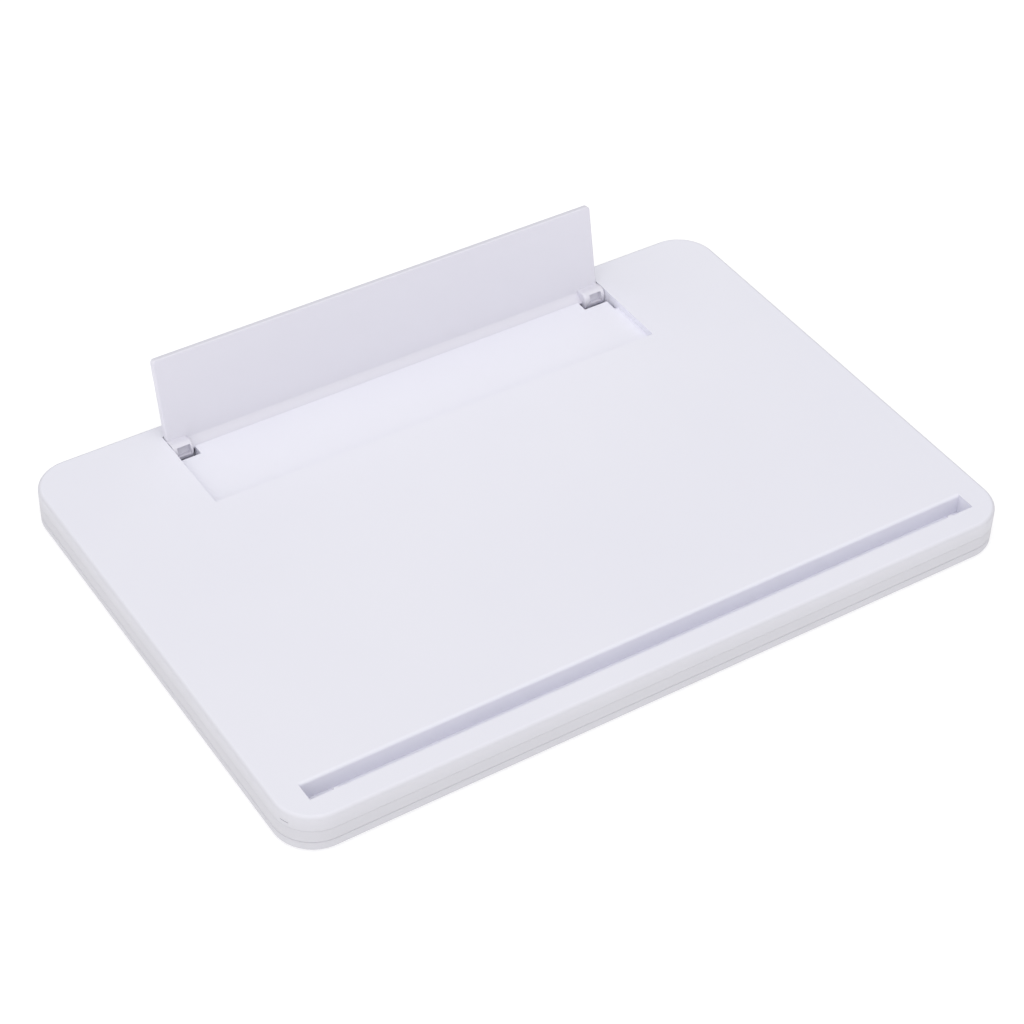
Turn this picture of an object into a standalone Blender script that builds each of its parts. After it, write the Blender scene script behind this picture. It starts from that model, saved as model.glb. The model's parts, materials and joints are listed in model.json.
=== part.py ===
"""Portable drawing board: a flat moulded case with a slot for an upright plate near its front
edge, and a picture flap that folds down flush into a recess near its back edge.

The board lies flat: +X runs along its long front edge, +Y to the back and +Z up.  The origin is
on the table, under the middle of the board.  All lengths are in metres.
"""
import math

import bmesh
import bpy
from mathutils import Matrix

# ---------------------------------------------------------------- driving dimensions
LENGTH = 0.330
DEPTH = 0.225
BODY_HEIGHT = 0.0175
CORNER_RADIUS = 0.017
FOOT_PROUD = 0.001
WALL = 0.0022
GAP = 0.0003

UNDERSIDE_Z = FOOT_PROUD
TOP_Z = UNDERSIDE_Z + BODY_HEIGHT
LOWER_SEAM_Z = UNDERSIDE_Z + 0.0046
UPPER_SEAM_Z = UNDERSIDE_Z + 0.0105
PLATE_BOTTOM_Z = TOP_Z - WALL
FLOOR_TOP_Z = UNDERSIDE_Z + WALL

TOP_EDGE_RADIUS = 0.0018
SEAM_EDGE_RADIUS = 0.0005
BOTTOM_EDGE_RADIUS = 0.0016
CORNER_STEPS = 8
TONGUE_THICKNESS = 0.0015
TONGUE_RISE = 0.0024
SIDES = (("left", -1), ("right", 1))

# slot for the upright plate
SLOT_HALF_LENGTH = 0.1528
SLOT_FRONT_Y = -0.1019
SLOT_WIDTH = 0.0083
SLOT_FLARE = 0.0013
SLOT_FLOOR_Z = UNDERSIDE_Z + 0.0085
SLOT_WALL = 0.0018
NUB_X = 0.1418
NUB_WIDTH = 0.0020
NUB_REACH = 0.0013
NUB_HEIGHT = 0.0045
NUB_DROP = 0.0003

# slit in the wall at the near left corner
PRY_ANGLE = math.radians(203.0)
PRY_Z = UNDERSIDE_Z + 0.0128
PRY_HALF_LENGTH = 0.0018
PRY_HALF_HEIGHT = 0.0002
PRY_DEPTH = 0.0009

# recess that the flap folds down into
RECESS_HALF_LENGTH = 0.1065
RECESS_FRONT_Y = 0.0577
RECESS_BACK_Y = 0.1046
RECESS_DEPTH = 0.0032
RECESS_FLOOR_Z = TOP_Z - RECESS_DEPTH
RECESS_SKIN = 0.0020
TROUGH_FRONT_Y = 0.0962
TROUGH_FLOOR_Z = UNDERSIDE_Z + 0.0096
NOTCH_FRONT_Y = 0.0906
NOTCH_INNER_X = {"left": 0.0960, "right": 0.0933}
NOTCH_OUTER_X = 0.1050
NOTCH_FLOOR_Z = UNDERSIDE_Z + 0.0078
NOTCH_BOTTOM_Z = UNDERSIDE_Z + 0.0063
RAMP_FRONT_Y = 0.0840
RAMP_FOOT_Y = 0.0916
RAMP_BACK_Y = 0.0937
RAMP_DROP = 0.0050
HINGE_BOX_BOTTOM_Z = UNDERSIDE_Z + 0.0075

# picture flap and its hinge
HINGE_Y = 0.0996
HINGE_Z = UNDERSIDE_Z + 0.0138
FLAP_TILT = math.radians(12.34)
FLAP_HALF_LENGTH = 0.1058
FLAP_THICKNESS = 0.0030
FLAP_FACE = 0.00075
FLAP_REACH = 0.04107
FLAP_TAIL = 0.00283
FLAP_CORNER_RADIUS = 0.0018
FLAP_EDGE_RADIUS = 0.0007
KNUCKLE_INNER_X = {"left": 0.0973, "right": 0.0958}
KNUCKLE_OUTER_X = 0.1062
KNUCKLE_RADIUS = 0.0055
KNUCKLE_TOP = 0.00355
KNUCKLE_NOSE_RADIUS = 0.0030
RAIL_RADIUS = 0.00305
RAIL_TOP = 0.0029
RAIL_BEND = (0.00035, 0.0006)
RAIL_FRONT_ANGLE = 203.0
RAIL_BOTTOM_ANGLE = 250.0
POCKET_INNER_X = 0.0985
POCKET_OUTER_X = 0.1045
POCKET_TOP = 0.0023
POCKET_BOTTOM = -0.0020
POCKET_FLOOR = 0.0036

PIN_RADIUS = 0.0010
PIN_INNER_X = 0.0992
PIN_OUTER_X = 0.1118
LUG_OUTER_X = 0.1121
LUG_HALF_WIDTH = 0.0040
RETAINER_THICKNESS = 0.0018
RETAINER_HALF_WIDTH = 0.0038
RETAINER_BOSS_RADIUS = 0.0029
RETAINER_SCREW_X = 0.1172
RETAINER_END_X = 0.1210

# screws, bosses and feet
COVER_SCREWS = {
    "front_left": (-0.150, -0.084),
    "front_middle": (0.0, -0.084),
    "front_right": (0.150, -0.084),
    "side_left": (-0.153, 0.008),
    "side_right": (0.153, 0.008),
    "back_left": (-0.150, 0.099),
    "back_middle": (0.0, 0.046),
    "back_right": (0.150, 0.099),
}
CORNER_SCREWS = ("front_left", "front_right", "back_left", "back_right")
SHANK_RADIUS = 0.0012
HEAD_RADIUS = 0.0023
HEAD_HEIGHT = 0.0015
BOSS_RADIUS = 0.0034
BOSS_BOTTOM_Z = UNDERSIDE_Z + 0.0068
STANDOFF_RADIUS = 0.0044
EAR_HALF_WIDTH = 0.0055
EAR_THICKNESS = 0.0020
EAR_BOTTOM_Z = UNDERSIDE_Z + 0.0072
DRIVE_ARM = 0.0013
DRIVE_HALF_WIDTH = 0.0003
DRIVE_DEPTH = 0.0008
COUNTERBORE_TOP_Z = UNDERSIDE_Z + 0.0026
COVER_SCREW_LENGTH = 0.0100
RETAINER_SCREW_LENGTH = 0.0065
FOOT_RADIUS = 0.0065
FOOT_SINK = 0.0010
FOOT_CENTRES = {
    "front_left": (-0.132, -0.089),
    "front_right": (0.132, -0.089),
    "back_left": (-0.132, 0.094),
    "back_right": (0.132, 0.094),
}
RIB_THICKNESS = 0.0014
RIB_HALF_LENGTH = LENGTH / 2 - WALL - 0.0030
TOP_RIB_DEPTH = 0.0040
FLOOR_RIB_HEIGHT = 0.0020
RIB_X = (-0.100, -0.050, 0.050, 0.100)
RIB_Y = (-0.060, -0.028, 0.012)

# colours, roughness and metallic value of each material
FINISHES = {
    "white_case": ((0.80, 0.80, 0.87), 0.45, 0.0),
    "white_base": ((0.76, 0.76, 0.82), 0.48, 0.0),
    "white_flap": ((0.80, 0.80, 0.86), 0.42, 0.0),
    "grey_rubber": ((0.30, 0.30, 0.32), 0.80, 0.0),
    "plated_steel": ((0.62, 0.62, 0.64), 0.32, 1.0),
}


# ---------------------------------------------------------------- small helpers
def clear_scene():
    for item in list(bpy.data.objects):
        bpy.data.objects.remove(item, do_unlink=True)


def make_collection(name):
    collection = bpy.data.collections.new(name)
    bpy.context.scene.collection.children.link(collection)
    return collection


def make_material(name):
    colour, roughness, metallic = FINISHES[name]
    material = bpy.data.materials.new(name)
    material.use_nodes = True
    shader = material.node_tree.nodes["Principled BSDF"]
    shader.inputs["Base Color"].default_value = (*colour, 1.0)
    shader.inputs["Roughness"].default_value = roughness
    shader.inputs["Metallic"].default_value = metallic
    return material


def object_from_bmesh(name, bm, collection):
    bmesh.ops.recalc_face_normals(bm, faces=bm.faces)
    mesh = bpy.data.meshes.new(name)
    bm.to_mesh(mesh)
    bm.free()
    item = bpy.data.objects.new(name, mesh)
    collection.objects.link(item)
    return item


def finish_part(item, material):
    item.data.materials.clear()
    item.data.materials.append(material)
    item.data.shade_smooth()
    item.data.set_sharp_from_angle(angle=math.radians(32.0))
    return item


def edges_where(bm, test):
    return [edge for edge in bm.edges if all(test(vert.co) for vert in edge.verts)]


def bevel(bm, edges, radius, steps):
    bmesh.ops.bevel(bm, geom=edges, offset=radius, offset_type="OFFSET", segments=steps,
                    profile=0.5, affect="EDGES", clamp_overlap=True, material=-1)


def block_bmesh(low, high):
    """A box between two corners."""
    bm = bmesh.new()
    bmesh.ops.create_cube(bm, size=1.0)
    size = [b - a for a, b in zip(low, high)]
    middle = [(a + b) / 2 for a, b in zip(low, high)]
    bmesh.ops.scale(bm, verts=bm.verts, vec=size)
    bmesh.ops.translate(bm, verts=bm.verts, vec=middle)
    return bm


def block(name, low, high):
    return object_from_bmesh(name, block_bmesh(low, high), TOOLS)


def rounded_slab(name, inset, low_z, high_z, collection, top_radius=0.0, bottom_radius=0.0,
                 edge_steps=3):
    """The board's outline, pulled in by inset, between two heights and with softened rims."""
    half_x = LENGTH / 2 - inset
    half_y = DEPTH / 2 - inset
    bm = block_bmesh((-half_x, -half_y, low_z), (half_x, half_y, high_z))
    tiny = 1e-6
    upright = [edge for edge in bm.edges
               if abs(edge.verts[0].co.z - edge.verts[1].co.z) > tiny]
    bevel(bm, upright, CORNER_RADIUS - inset, CORNER_STEPS)
    if top_radius:
        rim = edges_where(bm, lambda co: abs(co.z - high_z) < tiny)
        bevel(bm, rim, top_radius, edge_steps)
    if bottom_radius:
        rim = edges_where(bm, lambda co: abs(co.z - low_z) < tiny)
        bevel(bm, rim, bottom_radius, edge_steps)
    return object_from_bmesh(name, bm, collection)


def cylinder(name, centre, radius, low, high, axis="Z", steps=16, collection=None):
    """A round bar; centre is its position across the axis, low and high its ends along it."""
    bm = bmesh.new()
    bmesh.ops.create_cone(bm, cap_ends=True, segments=steps, radius1=radius, radius2=radius,
                          depth=high - low)
    middle = (low + high) / 2
    if axis == "Z":
        place = Matrix.Translation((centre[0], centre[1], middle))
    else:
        place = Matrix.Translation((middle, centre[0], centre[1])) @ Matrix.Rotation(
            math.radians(90.0), 4, "Y")
    bmesh.ops.transform(bm, matrix=place, verts=bm.verts)
    return object_from_bmesh(name, bm, collection or TOOLS)


def prism(name, outline, low_x, high_x, collection=None):
    """A flat outline of (y, z) points, pushed out along X between two ends."""
    curve = bpy.data.curves.new(name, "CURVE")
    curve.dimensions = "2D"
    curve.fill_mode = "BOTH"
    curve.extrude = (high_x - low_x) / 2
    spline = curve.splines.new("POLY")
    spline.points.add(len(outline) - 1)
    for point, (y, z) in zip(spline.points, outline):
        point.co = (y, z, 0.0, 1.0)
    spline.use_cyclic_u = True
    guide = bpy.data.objects.new(name + "_outline", curve)
    bpy.context.scene.collection.objects.link(guide)
    view = bpy.context.evaluated_depsgraph_get()
    mesh = bpy.data.meshes.new_from_object(guide.evaluated_get(view))
    bpy.data.objects.remove(guide, do_unlink=True)
    bm = bmesh.new()
    bm.from_mesh(mesh)
    bmesh.ops.remove_doubles(bm, verts=bm.verts, dist=1e-6)
    across = Matrix(((0, 0, 1, (low_x + high_x) / 2), (1, 0, 0, 0), (0, 1, 0, 0), (0, 0, 0, 1)))
    bmesh.ops.transform(bm, matrix=across, verts=bm.verts)
    return object_from_bmesh(name, bm, collection or TOOLS)


def arc(centre_y, centre_z, radius, start, end, steps):
    """Points (y, z) of an arc; the angles are in degrees from +Y towards +Z."""
    points = []
    for i in range(steps + 1):
        angle = math.radians(start + (end - start) * i / steps)
        points.append((centre_y + radius * math.cos(angle), centre_z + radius * math.sin(angle)))
    return points


def bend(start, middle, end, steps):
    """Points of a smooth curve from start towards middle and on to end, without the end point."""
    points = []
    for i in range(steps):
        t = i / steps
        points.append(tuple((1 - t) ** 2 * a + 2 * t * (1 - t) * b + t * t * c
                            for a, b, c in zip(start, middle, end)))
    return points


def combine(item, tool, operation):
    """Join a tool shape to a piece or cut it away; the tool stays as a hidden guide."""
    modifier = item.modifiers.new(operation.title() + "_" + tool.name, "BOOLEAN")
    modifier.operation = operation
    modifier.solver = "EXACT"
    modifier.object = tool
    tool.display_type = "WIRE"
    tool.hide_render = True


def join(item, tools):
    for tool in tools:
        combine(item, tool, "UNION")


def cut(item, tools):
    for tool in tools:
        combine(item, tool, "DIFFERENCE")


# ---------------------------------------------------------------- top cover
def slot_outline(bottom_z):
    """Section of the plate slot: an upright front wall and a rounded mouth on the back wall."""
    back_y = SLOT_FRONT_Y + SLOT_WIDTH
    mouth = arc(back_y + SLOT_FLARE, TOP_Z - SLOT_FLARE, SLOT_FLARE, 180.0, 90.0, 4)
    above = TOP_Z + 0.002
    return [(SLOT_FRONT_Y, bottom_z), (back_y, bottom_z)] + mouth + [
        (back_y + SLOT_FLARE, above), (SLOT_FRONT_Y, above)]


def slot_channel():
    wall = SLOT_WALL
    return block("slot_channel",
                 (-SLOT_HALF_LENGTH - wall, SLOT_FRONT_Y - wall, SLOT_FLOOR_Z - wall),
                 (SLOT_HALF_LENGTH + wall, SLOT_FRONT_Y + SLOT_WIDTH + wall,
                  PLATE_BOTTOM_Z + 0.0005))


def slot_nubs():
    """Two small ribs on the slot's front wall that pinch the plate."""
    top = TOP_Z - NUB_DROP
    back = SLOT_FRONT_Y + NUB_REACH
    section = [(SLOT_FRONT_Y - 0.0005, top - NUB_HEIGHT), (SLOT_FRONT_Y, top - NUB_HEIGHT),
               (back, top - NUB_HEIGHT * 0.7), (back, top - 0.0007),
               (back - 0.0007, top), (SLOT_FRONT_Y - 0.0005, top)]
    half = NUB_WIDTH / 2
    return [prism("nub_" + side, section, sign * NUB_X - half, sign * NUB_X + half)
            for side, sign in SIDES]


def pry_notch():
    """A thin slit for a tool, cut into the cover's wall at its near left corner."""
    notch = block("pry_notch",
                  (CORNER_RADIUS - PRY_DEPTH, -PRY_HALF_LENGTH, PRY_Z - PRY_HALF_HEIGHT),
                  (CORNER_RADIUS + 0.001, PRY_HALF_LENGTH, PRY_Z + PRY_HALF_HEIGHT))
    notch.location = (CORNER_RADIUS - LENGTH / 2, CORNER_RADIUS - DEPTH / 2, 0.0)
    notch.rotation_euler = (0.0, 0.0, PRY_ANGLE)
    return notch


def recess_pan():
    """The flap recess's floor and rim, hanging under the top plate."""
    rim = RECESS_SKIN
    pan = block("recess_pan",
                (-RECESS_HALF_LENGTH - rim, RECESS_FRONT_Y - rim, RECESS_FLOOR_Z - rim),
                (RECESS_HALF_LENGTH + rim, RECESS_BACK_Y + rim, PLATE_BOTTOM_Z + 0.0005))
    well = block("hinge_well",
                 (-RECESS_HALF_LENGTH - rim, TROUGH_FRONT_Y - rim, HINGE_BOX_BOTTOM_Z),
                 (RECESS_HALF_LENGTH + rim, RECESS_BACK_Y + rim, PLATE_BOTTOM_Z + 0.0003))
    return [pan, well]


def side_block(name, sign, low, high):
    """A box given for the board's right-hand side, put on the right or mirrored to the left."""
    if sign > 0:
        return block(name, low, high)
    return block(name, (-high[0], low[1], low[2]), (-low[0], high[1], high[2]))


def both_ends(name, low, high):
    return [side_block(name + "_" + side, sign, low, high) for side, sign in SIDES]


def hinge_walls():
    rim = RECESS_SKIN
    walls = both_ends("hinge_lug",
                      (RECESS_HALF_LENGTH + 0.0001, HINGE_Y - LUG_HALF_WIDTH,
                       HINGE_BOX_BOTTOM_Z + 0.0001),
                      (LUG_OUTER_X, HINGE_Y + LUG_HALF_WIDTH, PLATE_BOTTOM_Z + 0.0004))
    for side, sign in SIDES:
        inner = NOTCH_INNER_X[side] - rim
        walls.append(side_block("notch_wall_" + side, sign,
                                (inner, NOTCH_FRONT_Y - rim, HINGE_BOX_BOTTOM_Z + 0.0002),
                                (RECESS_HALF_LENGTH + rim - 0.0002, TROUGH_FRONT_Y,
                                 PLATE_BOTTOM_Z + 0.0001)))
        walls.append(side_block("notch_floor_" + side, sign,
                                (inner + 0.0001, NOTCH_FRONT_Y - rim + 0.0001, NOTCH_BOTTOM_Z),
                                (RECESS_HALF_LENGTH + GAP, RECESS_BACK_Y + rim - 0.0002,
                                 NOTCH_FLOOR_Z + 0.0004)))
    return walls


def recess_cuts():
    above = TOP_Z + 0.002
    recess = block("recess", (-RECESS_HALF_LENGTH, RECESS_FRONT_Y, RECESS_FLOOR_Z),
                   (RECESS_HALF_LENGTH, RECESS_BACK_Y, above))
    trough = block("trough", (-NOTCH_INNER_X["left"] - 0.0005, TROUGH_FRONT_Y, TROUGH_FLOOR_Z),
                   (NOTCH_INNER_X["right"] + 0.0005, RECESS_BACK_Y, above - 0.0005))
    cuts = [recess, trough]
    for side, sign in SIDES:
        inner = NOTCH_INNER_X[side]
        cuts.append(side_block("notch_" + side, sign, (inner, NOTCH_FRONT_Y, NOTCH_FLOOR_Z),
                               (NOTCH_OUTER_X, RAMP_BACK_Y + 0.001, above - 0.001)))
        cuts.append(side_block("knuckle_well_" + side, sign, (inner, RAMP_BACK_Y, NOTCH_FLOOR_Z),
                               (RECESS_HALF_LENGTH, RECESS_BACK_Y, above - 0.0007)))
    return cuts + ramp_cuts()


def ramp_cuts():
    """A relief along each end wall that slopes down towards the knuckle."""
    floor = RECESS_FLOOR_Z
    deep = floor - RAMP_DROP
    back = RAMP_BACK_Y + 0.001
    section = [(RAMP_FRONT_Y, floor), (RAMP_FOOT_Y, deep), (back, deep), (back, floor + 0.001),
               (RAMP_FRONT_Y, floor + 0.001)]
    inner = NOTCH_OUTER_X - 0.0001
    outer = RECESS_HALF_LENGTH
    return [prism("ramp_left", section, -outer, -inner), prism("ramp_right", section, inner, outer)]


def pin_saddle_cuts():
    """Each lug is open downwards, so the pin is laid in from below."""
    radius = PIN_RADIUS + GAP
    section = [(HINGE_Y - radius, NOTCH_BOTTOM_Z - 0.001),
               (HINGE_Y + radius, NOTCH_BOTTOM_Z - 0.001)]
    section += arc(HINGE_Y, HINGE_Z, radius, 0.0, 180.0, 8)
    inner = RECESS_HALF_LENGTH - 0.0005
    outer = LUG_OUTER_X + 0.001
    return [prism("saddle_left", section, -outer, -inner),
            prism("saddle_right", section, inner, outer)]


def cover_bosses():
    return [cylinder("boss_" + place, spot, BOSS_RADIUS, BOSS_BOTTOM_Z, PLATE_BOTTOM_Z + 0.0007)
            for place, spot in COVER_SCREWS.items()]


def retainer_bosses():
    return [cylinder("retainer_boss_" + side, (sign * RETAINER_SCREW_X, HINGE_Y),
                     RETAINER_BOSS_RADIUS, HINGE_BOX_BOTTOM_Z + 0.0001, PLATE_BOTTOM_Z + 0.0007)
            for side, sign in SIDES]


def screw_holes():
    radius = SHANK_RADIUS + GAP
    holes = [cylinder("screw_hole_" + place, spot, radius, BOSS_BOTTOM_Z - 0.001,
                      PLATE_BOTTOM_Z - 0.0004, steps=12)
             for place, spot in COVER_SCREWS.items()]
    holes += [cylinder("retainer_hole_" + side, (sign * RETAINER_SCREW_X, HINGE_Y), radius,
                       HINGE_BOX_BOTTOM_Z - 0.001, PLATE_BOTTOM_Z - 0.0004, steps=12)
              for side, sign in SIDES]
    return holes


def top_ribs():
    """Stiffening ribs under the drawing surface."""
    low = PLATE_BOTTOM_Z - TOP_RIB_DEPTH
    high = PLATE_BOTTOM_Z + 0.0006
    half = RIB_THICKNESS / 2
    front = SLOT_FRONT_Y + SLOT_WIDTH + SLOT_WALL - 0.0005
    back = RECESS_FRONT_Y - RECESS_SKIN + 0.0005
    side = RIB_HALF_LENGTH
    ribs = [block("rib_across_%d" % i, (x - half, front, low), (x + half, back, high))
            for i, x in enumerate(RIB_X)]
    ribs += [block("rib_along_%d" % i, (-side, y - half, low + 0.0005), (side, y + half, high))
             for i, y in enumerate(RIB_Y)]
    return ribs


def build_top_cover():
    cover = rounded_slab("top_cover", 0.0, UPPER_SEAM_Z + GAP / 2, TOP_Z, PARTS,
                         top_radius=TOP_EDGE_RADIUS, bottom_radius=SEAM_EDGE_RADIUS)
    cavity = rounded_slab("cover_cavity", WALL, UPPER_SEAM_Z - 0.002, PLATE_BOTTOM_Z, TOOLS)
    cut(cover, [cavity])
    join(cover, [slot_channel()] + recess_pan() + hinge_walls() + cover_bosses())
    join(cover, retainer_bosses() + top_ribs())
    slot = prism("slot", slot_outline(SLOT_FLOOR_Z), -SLOT_HALF_LENGTH, SLOT_HALF_LENGTH)
    cut(cover, [slot, pry_notch()] + recess_cuts() + pin_saddle_cuts() + screw_holes())
    join(cover, slot_nubs())
    return finish_part(cover, MATERIALS["white_case"])


# ---------------------------------------------------------------- middle frame
def build_middle_frame():
    """The wall between the two covers, with an inner tongue that locates both of them."""
    frame = rounded_slab("middle_frame", 0.0, LOWER_SEAM_Z + GAP / 2, UPPER_SEAM_Z - GAP / 2, PARTS,
                         top_radius=SEAM_EDGE_RADIUS, bottom_radius=SEAM_EDGE_RADIUS, edge_steps=2)
    tongue = rounded_slab("frame_tongue", WALL + GAP, FLOOR_TOP_Z + GAP, UPPER_SEAM_Z + TONGUE_RISE,
                          TOOLS)
    inside = rounded_slab("frame_inside", WALL + GAP + TONGUE_THICKNESS, UNDERSIDE_Z, TOP_Z,
                          TOOLS)
    join(frame, [tongue])
    cut(frame, [inside])
    ears = []
    holes = []
    for place in CORNER_SCREWS:
        x, y = COVER_SCREWS[place]
        outward = math.copysign(LENGTH / 2 - WALL - 0.0010, x)
        low = (min(x - EAR_HALF_WIDTH, outward), y - EAR_HALF_WIDTH, EAR_BOTTOM_Z)
        high = (max(x + EAR_HALF_WIDTH, outward), y + EAR_HALF_WIDTH, EAR_BOTTOM_Z + EAR_THICKNESS)
        ears.append(block("ear_" + place, low, high))
        holes.append(cylinder("ear_hole_" + place, (x, y), BOSS_RADIUS + GAP,
                              EAR_BOTTOM_Z - 0.001, EAR_BOTTOM_Z + EAR_THICKNESS + 0.001))
    join(frame, ears)
    cut(frame, holes)
    return finish_part(frame, MATERIALS["white_base"])


# ---------------------------------------------------------------- bottom cover
def build_bottom_cover():
    cover = rounded_slab("bottom_cover", 0.0, UNDERSIDE_Z, LOWER_SEAM_Z - GAP / 2, PARTS,
                         top_radius=SEAM_EDGE_RADIUS, bottom_radius=BOTTOM_EDGE_RADIUS)
    cavity = rounded_slab("floor_cavity", WALL, FLOOR_TOP_Z, TOP_Z, TOOLS)
    cut(cover, [cavity])
    standoffs = [cylinder("standoff_" + place, spot, STANDOFF_RADIUS, FLOOR_TOP_Z - 0.0007,
                          BOSS_BOTTOM_Z - GAP) for place, spot in COVER_SCREWS.items()]
    half = RIB_THICKNESS / 2
    side = RIB_HALF_LENGTH
    ribs = [block("floor_rib_%d" % i, (-side, y - half, FLOOR_TOP_Z - 0.0006),
                  (side, y + half, FLOOR_TOP_Z + FLOOR_RIB_HEIGHT)) for i, y in enumerate(RIB_Y)]
    join(cover, standoffs + ribs)
    shank = [cylinder("shank_hole_" + place, spot, SHANK_RADIUS + GAP, UNDERSIDE_Z,
                      BOSS_BOTTOM_Z + 0.001, steps=12) for place, spot in COVER_SCREWS.items()]
    counterbore = [cylinder("counterbore_" + place, spot, HEAD_RADIUS + GAP, UNDERSIDE_Z - 0.001,
                            COUNTERBORE_TOP_Z) for place, spot in COVER_SCREWS.items()]
    pockets = [cylinder("foot_pocket_" + place, spot, FOOT_RADIUS + GAP, UNDERSIDE_Z - 0.001,
                        UNDERSIDE_Z + FOOT_SINK + GAP, steps=24)
               for place, spot in FOOT_CENTRES.items()]
    cut(cover, shank + counterbore + pockets)
    return finish_part(cover, MATERIALS["white_base"])


# ---------------------------------------------------------------- picture flap
def put_on_hinge(item):
    item.location = (0.0, HINGE_Y, HINGE_Z)
    item.rotation_euler = (-FLAP_TILT, 0.0, 0.0)
    return item


def flap_plate():
    """The plate in the hinge's own frame: Z along the flap, the front face towards -Y."""
    front = FLAP_FACE
    bm = block_bmesh((-FLAP_HALF_LENGTH, front, -FLAP_TAIL),
                     (FLAP_HALF_LENGTH, front + FLAP_THICKNESS, FLAP_REACH))
    corners = [edge for edge in bm.edges
               if edge.verts[0].co.z > 0 and edge.verts[1].co.z > 0
               and abs(edge.verts[0].co.y - edge.verts[1].co.y) > 1e-6]
    bevel(bm, corners, FLAP_CORNER_RADIUS, 4)
    faces = [face for face in bm.faces if abs(face.normal.y) > 0.9]
    rims = {edge for face in faces for edge in face.edges}
    bevel(bm, list(rims), FLAP_EDGE_RADIUS, 2)
    return object_from_bmesh("picture_flap", bm, PARTS)


def knuckle_outline():
    """Section of a knuckle: a barrel round the hinge axis that grows out of the flap's foot."""
    back = FLAP_FACE + 0.0010
    nose_z = KNUCKLE_TOP - KNUCKLE_NOSE_RADIUS
    nose_y = -math.sqrt((KNUCKLE_RADIUS - KNUCKLE_NOSE_RADIUS) ** 2 - nose_z ** 2)
    turn = math.degrees(math.atan2(nose_z, nose_y))
    nose = arc(nose_y, nose_z, KNUCKLE_NOSE_RADIUS, 90.0, turn, 4)
    barrel = arc(0.0, 0.0, KNUCKLE_RADIUS, turn, 225.0, 5)
    return [(back, KNUCKLE_TOP)] + nose + barrel[1:] + [(back, -FLAP_TAIL + 0.0001)]


def foot_rail():
    """A rail along the plate's foot that fills the trough in front of it, round the hinge axis."""
    back = FLAP_FACE + 0.0010
    barrel = arc(0.0, 0.0, RAIL_RADIUS, RAIL_FRONT_ANGLE, RAIL_BOTTOM_ANGLE, 3)
    face = bend((FLAP_FACE + 0.0001, RAIL_TOP), RAIL_BEND, barrel[0], 4)
    outline = [(back, RAIL_TOP)] + face + barrel + [(back, -FLAP_TAIL + 0.0002)]
    return put_on_hinge(prism("foot_rail", outline, -KNUCKLE_INNER_X["left"] - 0.0002,
                              KNUCKLE_INNER_X["right"] + 0.0002))


def build_flap():
    flap = put_on_hinge(flap_plate())
    knuckles = []
    hollows = []
    for side, sign in SIDES:
        low, high = sorted((sign * KNUCKLE_INNER_X[side], sign * KNUCKLE_OUTER_X))
        knuckles.append(put_on_hinge(prism("knuckle_" + side, knuckle_outline(), low, high)))
        pocket = side_block("pocket_" + side, sign,
                            (POCKET_INNER_X, -KNUCKLE_RADIUS - 0.001, POCKET_BOTTOM),
                            (POCKET_OUTER_X, FLAP_FACE - POCKET_FLOOR, POCKET_TOP))
        inner, outer = sorted((sign * (PIN_INNER_X - GAP), sign * (KNUCKLE_OUTER_X + 0.001)))
        bore = cylinder("knuckle_bore_" + side, (0.0, 0.0), PIN_RADIUS + GAP, inner, outer, axis="X")
        hollows += [put_on_hinge(pocket), put_on_hinge(bore)]
    join(flap, knuckles + [foot_rail()])
    cut(flap, hollows)
    return finish_part(flap, MATERIALS["white_flap"])


# ---------------------------------------------------------------- pins, retainers, screws, feet
def build_hinge_hardware():
    for side, sign in SIDES:
        low, high = sorted((sign * PIN_INNER_X, sign * PIN_OUTER_X))
        pin = cylinder("hinge_pin_" + side, (HINGE_Y, HINGE_Z), PIN_RADIUS, low, high, axis="X",
                       collection=PARTS)
        finish_part(pin, MATERIALS["plated_steel"])
        build_retainer(side, sign)


def build_retainer(side, sign):
    """A small clamp screwed up under each hinge lug, whose tongue keeps the pin in its saddle."""
    top = HINGE_BOX_BOTTOM_Z - GAP
    low, high = sorted((sign * (RECESS_HALF_LENGTH + 0.0006), sign * RETAINER_END_X))
    bm = block_bmesh((low, HINGE_Y - RETAINER_HALF_WIDTH, top - RETAINER_THICKNESS),
                     (high, HINGE_Y + RETAINER_HALF_WIDTH, top))
    retainer = object_from_bmesh("hinge_retainer_" + side, bm, PARTS)
    low, high = sorted((sign * (RECESS_HALF_LENGTH + 0.0008), sign * (LUG_OUTER_X - 0.0004)))
    tongue = block("retainer_tongue_" + side, (low, HINGE_Y - PIN_RADIUS, top - 0.0005),
                   (high, HINGE_Y + PIN_RADIUS, HINGE_Z - PIN_RADIUS - GAP))
    hole = cylinder("retainer_screw_hole_" + side, (sign * RETAINER_SCREW_X, HINGE_Y),
                    SHANK_RADIUS + GAP, top - 0.004, top + 0.002, steps=12)
    join(retainer, [tongue])
    cut(retainer, [hole])
    finish_part(retainer, MATERIALS["white_base"])


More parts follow.
